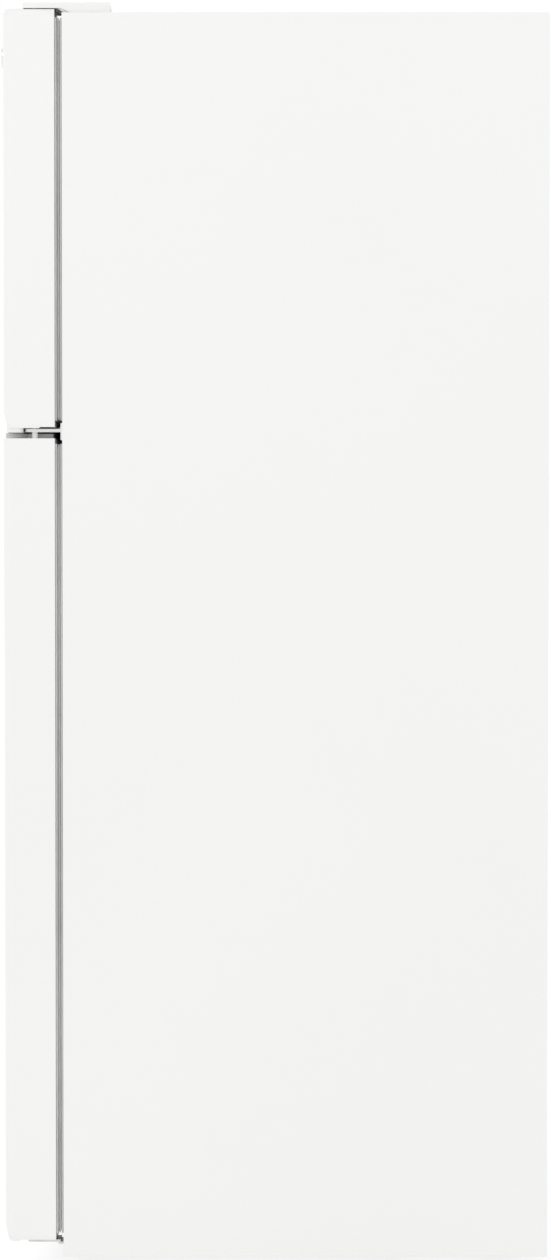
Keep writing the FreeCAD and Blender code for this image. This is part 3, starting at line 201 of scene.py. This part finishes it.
def clear_styrene(name, colour, rough, transmission, alpha=1.0):
    """Clear moulded drawer plastic with flow lines and faint handling haze."""
    material, tree, shader, where = new_material(name)
    haze = noise(tree, where, 12, 5)
    stops = [(0.35, shade(colour, 0.95)), (0.65, colour)]
    tree.links.new(ramp(tree, haze, stops), shader.inputs["Base Color"])
    tree.links.new(span(tree, haze, rough, rough + 0.16), shader.inputs["Roughness"])
    shader.inputs["Transmission Weight"].default_value = transmission
    shader.inputs["IOR"].default_value = 1.49
    shader.inputs["Alpha"].default_value = alpha
    flow = noise(tree, where, 22, 2, stretch=(0.3, 1, 1))
    bump(tree, shader, [(flow, 0.08, 0.0006)])
    return material


def soft_vinyl(name, colour):
    """Gasket vinyl: matte, with extrusion lines and a little grime in the folds."""
    material, tree, shader, where = new_material(name)
    grime = noise(tree, where, 8, 6, 0.65)
    stops = [(0.3, shade(colour, 0.9)), (0.55, colour), (0.8, shade(colour, 1.04))]
    tree.links.new(ramp(tree, grime, stops), shader.inputs["Base Color"])
    tree.links.new(span(tree, grime, 0.5, 0.68), shader.inputs["Roughness"])
    shader.inputs["Sheen Weight"].default_value = 0.15
    lines = noise(tree, where, 300, 2, stretch=(1, 4, 0.1))
    bump(tree, shader, [(lines, 0.15, 0.0002)])
    return material


def galvanised(name, colour):
    """Zinc-coated sheet: crystals of slightly different tone and shine."""
    material, tree, shader, where = new_material(name)
    crystals = cells(tree, where, 90)
    tone = tree.nodes.new("ShaderNodeRGBToBW")
    tree.links.new(crystals.outputs["Color"], tone.inputs["Color"])
    stops = [(0.0, shade(colour, 0.89)), (0.5, colour), (1.0, shade(colour, 1.08))]
    tree.links.new(ramp(tree, tone.outputs["Val"], stops), shader.inputs["Base Color"])
    tree.links.new(span(tree, tone.outputs["Val"], 0.32, 0.5), shader.inputs["Roughness"])
    shader.inputs["Metallic"].default_value = 0.85
    bump(tree, shader, [(noise(tree, where, 240, 3), 0.1, 0.0002)])
    return material


def bare_metal(name, colour, rough, stretch):
    """Drawn or brushed metal: long fine lines along one way."""
    material, tree, shader, where = new_material(name)
    lines = noise(tree, where, 260, 4, 0.6, stretch)
    stops = [(0.3, shade(colour, 0.86)), (0.7, shade(colour, 1.08))]
    tree.links.new(ramp(tree, lines, stops), shader.inputs["Base Color"])
    tree.links.new(span(tree, lines, rough - 0.08, rough + 0.1), shader.inputs["Roughness"])
    shader.inputs["Metallic"].default_value = 1.0
    bump(tree, shader, [(lines, 0.12, 0.0001)])
    return material


def urethane_foam(name):
    """Rigid foam: honey-coloured skin over fine cells."""
    material, tree, shader, where = new_material(name)
    pores = cells(tree, where, 500).outputs["Distance"]
    tone = noise(tree, where, 12, 5)
    stops = [(0.3, (0.74, 0.60, 0.33)), (0.6, (0.86, 0.76, 0.50)), (0.85, (0.90, 0.83, 0.62))]
    tree.links.new(ramp(tree, tone, stops), shader.inputs["Base Color"])
    tree.links.new(span(tree, pores, 0.75, 0.95), shader.inputs["Roughness"])
    bump(tree, shader, [(pores, 0.5, 0.0006), (tone, 0.3, 0.003)])
    return material


def float_glass(name):
    """Tempered shelf glass: green in depth, with faint smears."""
    material, tree, shader, where = new_material(name)
    smear = noise(tree, where, 7, 5, 0.6, (1, 3, 1))
    stops = [(0.3, (0.80, 0.90, 0.86)), (0.7, (0.88, 0.95, 0.92))]
    tree.links.new(ramp(tree, smear, stops), shader.inputs["Base Color"])
    tree.links.new(span(tree, smear, 0.01, 0.09), shader.inputs["Roughness"])
    shader.inputs["Transmission Weight"].default_value = 0.92
    shader.inputs["IOR"].default_value = 1.52
    bump(tree, shader, [(smear, 0.02, 0.0003)])
    return material


def lit_lens(name):
    """Frosted lamp lens, prismed inside."""
    material, tree, shader, where = new_material(name)
    prisms = cells(tree, where, 260).outputs["Distance"]
    stops = [(0.0, (0.80, 0.82, 0.80)), (0.6, (0.95, 0.96, 0.93))]
    tree.links.new(ramp(tree, prisms, stops), shader.inputs["Base Color"])
    tree.links.new(span(tree, prisms, 0.25, 0.45), shader.inputs["Roughness"])
    shader.inputs["Transmission Weight"].default_value = 0.45
    bump(tree, shader, [(prisms, 0.5, 0.0006)])
    return material


def dark_enamel(name, colour, rough, dust):
    """Black paint or dark rubber under a thin settling of dust."""
    material, tree, shader, where = new_material(name)
    settled = noise(tree, where, 22, 6, 0.62)
    stops = [(0.45, colour), (0.8, tuple(c + dust for c in colour))]
    tree.links.new(ramp(tree, settled, stops), shader.inputs["Base Color"])
    tree.links.new(span(tree, settled, rough - 0.1, rough + 0.2), shader.inputs["Roughness"])
    bump(tree, shader, [(noise(tree, where, 500, 2), 0.2, 0.0002)])
    return material


WHITE = (0.832, 0.832, 0.826)
MATERIALS = {
    "white_steel": painted_steel("white_enamel", WHITE, 0.34),
    "galvanised_steel": galvanised("zinc_sheet", (0.60, 0.61, 0.62)),
    "foam": urethane_foam("urethane_foam"),
    "liner_plastic": formed_sheet("liner_sheet", (0.86, 0.87, 0.865)),
    "white_plastic": moulded_plastic("white_moulding", (0.82, 0.82, 0.81), 0.42),
    "clear_plastic": clear_styrene("clear_styrene", (0.90, 0.94, 0.95), 0.08, 0.35, 0.45),
    "lamp_lens": lit_lens("frosted_lens"),
    "shelf_glass": float_glass("shelf_glass"),
    "gasket_vinyl": soft_vinyl("gasket_vinyl", (0.77, 0.77, 0.76)),
    "badge_metal": bare_metal("bright_trim", (0.80, 0.81, 0.82), 0.2, (8, 1, 1)),
    "hinge_steel": bare_metal("hinge_steel", (0.62, 0.62, 0.61), 0.34, (1, 0.2, 1)),
    "coated_wire": painted_steel("coated_wire", (0.86, 0.86, 0.85), 0.3),
    "coil_aluminium": bare_metal("coil_aluminium", (0.76, 0.77, 0.78), 0.38, (0.2, 1, 1)),
    "black_enamel": dark_enamel("black_enamel", (0.012, 0.012, 0.013), 0.3, 0.05),
    "black_plastic": dark_enamel("black_moulding", (0.02, 0.02, 0.02), 0.5, 0.03),
    "grey_plastic": moulded_plastic("grey_moulding", (0.14, 0.14, 0.145), 0.5, 600, 0.2),
    "black_rubber": dark_enamel("black_rubber", (0.018, 0.018, 0.018), 0.7, 0.02),
}


def dress(piece, slot):
    """Give a piece its slot's material."""
    piece.data.materials.clear()
    piece.data.materials.append(MATERIALS[slot])


def dress_frame():
    """Give every CAD piece its slot's material."""
    for part in frame["record"]["subparts"]:
        dress(frame["nodes"][part["node"]], part["material_slot"])


def soften(node, radius):
    """Break a CAD piece's sharp edges with a small real radius."""
    bevel = frame["nodes"][node].modifiers.new("edge", "BEVEL")
    bevel.width = radius
    bevel.segments = 2
    bevel.limit_method = "ANGLE"
    bevel.angle_limit = math.radians(50)


# Edge radius of each softened piece, in metres
SOFTENED = {
    "freezer_door_bottom_cap": 0.0003,
    "fridge_door_top_cap": 0.0003,
    "fridge_door_bottom_cap": 0.0003,
    "freezer_door_handle": 0.0008,
    "fridge_door_handle": 0.0008,
    "centre_hinge": 0.0004,
    "top_hinge": 0.0004,
    "bottom_hinge": 0.0004,
    "mullion_trim": 0.0004,
    "control_housing": 0.0012,
    "evaporator_cover": 0.0012,
    "shelf_frames": 0.0008,
    "dairy_lid": 0.0004,
    "base_grille": 0.0005,
    "drain_pan": 0.0005,
    "start_relay_box": 0.0008,
    "power_inlet": 0.0006,
}


# ---------------------------------------------------------------------- pieces

def mesh_piece(name, slot, body, smooth_angle=40):
    """Decorator: the function fills a bmesh, and the result rides on the body."""
    def build(fill):
        mesh = bpy.data.meshes.new(name)
        work = bmesh.new()
        fill(work)
        bmesh.ops.remove_doubles(work, verts=work.verts, dist=1e-6)
        bmesh.ops.recalc_face_normals(work, faces=work.faces)
        work.to_mesh(mesh)
        work.free()
        mesh.shade_smooth()
        mesh.set_sharp_from_angle(angle=math.radians(smooth_angle))
        piece = bpy.data.objects.new(name, mesh)
        bpy.context.scene.collection.objects.link(piece)
        dress(piece, slot)
        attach(piece, body)
        return piece
    return build


# Half of the seal's section, as (inset from its edge, depth towards the cabinet), both 0 to 1:
# base, fold, second fold and magnet pocket
GASKET_PROFILE = [
    (0.12, 0.00), (0.03, 0.02), (0.00, 0.07), (0.01, 0.20), (0.08, 0.26), (0.26, 0.29), (0.30, 0.35),
    (0.27, 0.41), (0.10, 0.45), (0.05, 0.50), (0.07, 0.57), (0.18, 0.61), (0.30, 0.65), (0.28, 0.71),
    (0.08, 0.75), (0.01, 0.80), (0.00, 0.87), (0.02, 0.95), (0.08, 1.00),
]
GASKET_WIDTH = 0.015


def add_gasket(node, body):
    """The seal as one moulded bellows, mitred at its corners."""
    low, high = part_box(node)
    depth = high[1] - low[1]
    inner = [(1 - u, v) for u, v in reversed(GASKET_PROFILE)]
    section = [(u * GASKET_WIDTH, low[1] + v * depth) for u, v in GASKET_PROFILE + inner]

    @mesh_piece(node + "_bellows", "gasket_vinyl", body, 60)
    def piece(work):
        loops = []
        for side, end in ((1, 1), (-1, 1), (-1, -1), (1, -1)):
            x = high[0] if side > 0 else low[0]
            z = high[2] if end > 0 else low[2]
            corner = [(x - side * inset, y, z - end * inset) for inset, y in section]
            loops.append([work.verts.new(spot) for spot in corner])
        for i, loop in enumerate(loops):
            after = loops[(i + 1) % len(loops)]
            for k in range(len(section)):
                following = (k + 1) % len(section)
                work.faces.new((loop[k], loop[following], after[following], after[k]))

    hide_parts(node)


def tubes(name, slot, body, lines, radius):
    """Bent tubes, each along a smooth line through its own points."""
    curve = bpy.data.curves.new(name, "CURVE")
    curve.dimensions = "3D"
    curve.bevel_depth = radius
    curve.bevel_resolution = 3
    curve.use_fill_caps = True
    for points in lines:
        spline = curve.splines.new("NURBS")
        spline.points.add(len(points) - 1)
        for target, point in zip(spline.points, points):
            target.co = (*point, 1.0)
        spline.order_u = 3
        spline.use_endpoint_u = True
        spline.resolution_u = 6
    piece = bpy.data.objects.new(name, curve)
    bpy.context.scene.collection.objects.link(piece)
    dress(piece, slot)
    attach(piece, body)


# The condenser's straight tubes: columns from its front face, rows from its top
COIL_FIRST_COLUMN = 0.020
COIL_COLUMN_PITCH = 0.030
COIL_LOWEST_ROW = 0.144
COIL_ROW_PITCH = 0.032
COIL_TUBE_RADIUS = 0.003
BEND_REACH = 0.016


def add_condenser_bends():
    """Return bends at both ends of the condenser's straight tubes; gives its inlet and outlet."""
    low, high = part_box("condenser_coil")
    columns = [low[1] + COIL_FIRST_COLUMN + COIL_COLUMN_PITCH * i for i in range(4)]
    rows = [high[2] - COIL_LOWEST_ROW + COIL_ROW_PITCH * i for i in range(5)]
    left = (low[0], -BEND_REACH)
    right = (high[0], BEND_REACH)
    lines = []

    def bend(end, first, second):
        x, out = end
        lines.append([(x, *first), (x + out, *first), (x + out, *second), (x, *second)])

    for y in columns:
        for end, lower_rows in ((right, (0, 2)), (left, (1, 3))):
            for k in lower_rows:
                bend(end, (y, rows[k]), (y, rows[k + 1]))
    for i in (0, 2):
        bend(right, (columns[i], rows[4]), (columns[i + 1], rows[4]))
    bend(left, (columns[1], rows[0]), (columns[2], rows[0]))
    tubes("condenser_bends", "coil_aluminium", "cabinet", lines, COIL_TUBE_RADIUS)
    return (low[0], columns[0], rows[0]), (low[0], columns[3], rows[0])


PIPE_RADIUS = 0.0028
DRIER_RADIUS = 0.009
LEAD_RADIUS = 0.0028
COMPRESSOR_BEHIND_FAN_FRONT = 0.056
DRIER_FROM_COMPRESSOR_X = 0.086
DRIER_BEHIND_OUTLET = 0.034
LEAD_BEHIND_OUTLET = 0.042
LEAD_ON_DECK_Z = 0.0235

# Routes, in metres. The compressor's are from its middle, the drier's from its foot, both at floor
# level; the condenser's are from its inlet and its outlet.
DISCHARGE_AT_COMPRESSOR = ((0.040, -0.040, 0.075), (0.070, -0.066, 0.075), (0.130, -0.070, 0.066))
DISCHARGE_AT_INLET = ((-0.060, -0.018, 0), (-0.020, -0.006, 0), (0, 0, 0))
SUCTION_AT_COMPRESSOR = (
    (-0.038, -0.044, 0.110), (-0.056, -0.066, 0.118), (-0.072, -0.078, 0.150), (-0.074, -0.080, 0.225))
LIQUID_AT_OUTLET = ((0, 0, 0), (-0.024, 0.006, -0.004), (-0.040, 0.028, -0.012))
LIQUID_AT_DRIER = ((0.040, 0, 0.050), (0.004, 0, 0.066), (0, 0, 0.100), (0, 0, 0.225))
DRIER_HEIGHTS = (0.110, 0.125, 0.170, 0.185)


def route(start, offsets):
    """Points at the given offsets from a start."""
    return [Vector(start) + Vector(offset) for offset in offsets]


def add_pipes(inlet, outlet):
    """Discharge, suction and liquid lines with the filter drier."""
    low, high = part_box("compressor")
    fan_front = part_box("condenser_fan")[0][1]
    compressor = ((low[0] + high[0]) / 2, fan_front + COMPRESSOR_BEHIND_FAN_FRONT, 0)
    drier = (compressor[0] + DRIER_FROM_COMPRESSOR_X, outlet[1] + DRIER_BEHIND_OUTLET, 0)
    lines = [
        route(compressor, DISCHARGE_AT_COMPRESSOR) + route(inlet, DISCHARGE_AT_INLET),
        route(compressor, SUCTION_AT_COMPRESSOR),
        route(outlet, LIQUID_AT_OUTLET) + route(drier, LIQUID_AT_DRIER),
    ]
    tubes("refrigerant_lines", "coil_aluminium", "cabinet", lines, PIPE_RADIUS)
    shell = route(drier, [(0, 0, height) for height in DRIER_HEIGHTS])
    tubes("filter_drier", "hinge_steel", "cabinet", [shell], DRIER_RADIUS)


def add_motor_lead(outlet):
    """The compressor's lead, from its relay box along the deck to the power inlet."""
    relay_low, relay_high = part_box("start_relay_box")
    inlet_low, inlet_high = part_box("power_inlet")
    inlet_x = (inlet_low[0] + inlet_high[0]) / 2
    inlet_z = (inlet_low[2] + inlet_high[2]) / 2
    run_y = outlet[1] + LEAD_BEHIND_OUTLET
    points = [
        (relay_high[0] - 0.002, (relay_low[1] + relay_high[1]) / 2, relay_low[2] + 0.01),
        (relay_high[0] + 0.012, relay_high[1], 0.060),
        (relay_high[0] + 0.020, run_y - 0.010, 0.026),
        (relay_high[0] + 0.060, run_y, LEAD_ON_DECK_Z),
        (inlet_x - 0.060, run_y, LEAD_ON_DECK_Z),
        (inlet_x - 0.010, run_y + 0.002, 0.030),
        (inlet_x, inlet_low[1] + 0.002, inlet_z),
    ]
    tubes("motor_lead", "black_rubber", "cabinet", [points], LEAD_RADIUS)


MARK_ANGLES = range(-120, 121, 40)
MARK_RING_RADIUS = 0.0195
MARK_LENGTH = 0.0016
MARK_GROWTH = 0.0003
MARK_HALF_WIDTH = 0.0005
MARK_PROUD = 0.0004


def add_dial_marks():
    """Raised marks on the housing round the dial, longer as the setting gets colder."""
    low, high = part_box("fridge_dial")
    face_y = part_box("control_housing")[0][1]
    centre = Vector(((low[0] + high[0]) / 2, face_y, (low[2] + high[2]) / 2))

    @mesh_piece("dial_marks", "grey_plastic", "cabinet")
    def piece(work):
        for i, degrees in enumerate(MARK_ANGLES):
            angle = math.radians(degrees)
            along = Vector((math.sin(angle), 0, math.cos(angle)))
            across = Vector((math.cos(angle), 0, -math.sin(angle)))
            length = MARK_LENGTH + MARK_GROWTH * i
            start = centre + along * MARK_RING_RADIUS
            corners = []
            for out in (MARK_PROUD, -MARK_PROUD):
                for a, b in ((0, -1), (1, -1), (1, 1), (0, 1)):
                    spot = start + along * (a * length) + across * (b * MARK_HALF_WIDTH)
                    corners.append(work.verts.new(spot - Vector((0, out, 0))))
            front, back = corners[:4], corners[4:]
            work.faces.new(front)
            work.faces.new(back[::-1])
            for k in range(4):
                following = (k + 1) % 4
                work.faces.new((front[k], back[k], back[following], front[following]))


# ----------------------------------------------------------------------- stage

def add_floor():
    """A wide pale floor that glows a little, so it stays near white."""
    mesh = bpy.data.meshes.new("studio_floor")
    work = bmesh.new()
    bmesh.ops.create_grid(work, x_segments=2, y_segments=2, size=FLOOR_HALF_SIZE)
    work.to_mesh(mesh)
    work.free()
    floor = bpy.data.objects.new("studio_floor", mesh)
    bpy.context.scene.collection.objects.link(floor)
    material, tree, shader, where = new_material("pale_floor")
    tone = noise(tree, where, 1.5, 3)
    stops = [(0.3, FLOOR_TONE - FLOOR_DRIFT), (0.7, FLOOR_TONE + FLOOR_DRIFT)]
    tree.links.new(ramp(tree, tone, stops), shader.inputs["Base Color"])
    shader.inputs["Roughness"].default_value = 0.9
    shader.inputs["Specular IOR Level"].default_value = 0.1
    shader.inputs["Emission Color"].default_value = (1, 1, 1, 1)
    shader.inputs["Emission Strength"].default_value = FLOOR_GLOW
    mesh.materials.append(material)


def add_world():
    """Even white light from all round."""
    world = bpy.data.worlds.new("studio")
    bpy.context.scene.world = world
    world.use_nodes = True
    background = world.node_tree.nodes["Background"]
    background.inputs["Color"].default_value = (1, 1, 1, 1)
    background.inputs["Strength"].default_value = WORLD_STRENGTH


def add_softbox(name, place, target, size, power):
    """A rectangular area light, its power in watts."""
    light = bpy.data.lights.new(name, "AREA")
    light.shape = "RECTANGLE"
    light.size, light.size_y = size
    light.energy = power
    lamp = bpy.data.objects.new(name, light)
    bpy.context.scene.collection.objects.link(lamp)
    lamp.location = place
    lamp.rotation_euler = (Vector(target) - Vector(place)).to_track_quat("-Z", "Y").to_euler()


def add_camera():
    low, high = cad_box
    data = bpy.data.cameras.new("camera")
    data.sensor_width = SENSOR_MM
    data.lens = SENSOR_MM * CAMERA_DISTANCE / FRAME_HEIGHT_AT_SIDE
    camera = bpy.data.objects.new("camera", data)
    bpy.context.scene.collection.objects.link(camera)
    camera.location = (high[0] + CAMERA_DISTANCE, AIM_Y, CAMERA_HEIGHT)
    aim = Vector((high[0], AIM_Y, AIM_HEIGHT))
    camera.rotation_euler = (aim - camera.location).to_track_quat("-Z", "Y").to_euler()
    bpy.context.scene.camera = camera


dress_frame()
for node, radius in SOFTENED.items():
    soften(node, radius)
for door in ("freezer_door", "fridge_door"):
    add_gasket(door + "_gasket", door)
add_dial_marks()
condenser_inlet, condenser_outlet = add_condenser_bends()
add_pipes(condenser_inlet, condenser_outlet)
add_motor_lead(condenser_outlet)

add_floor()
add_world()
add_softbox("key", (2.6, -0.8, 3.4), (0.3, 0, 1.3), (1.8, 1.8), 8)
add_softbox("front_fill", (-1.5, -3.6, 2.4), (0, 0, 1.0), (2.0, 2.4), 5)
add_camera()
bpy.context.scene.view_settings.view_transform = "Standard"
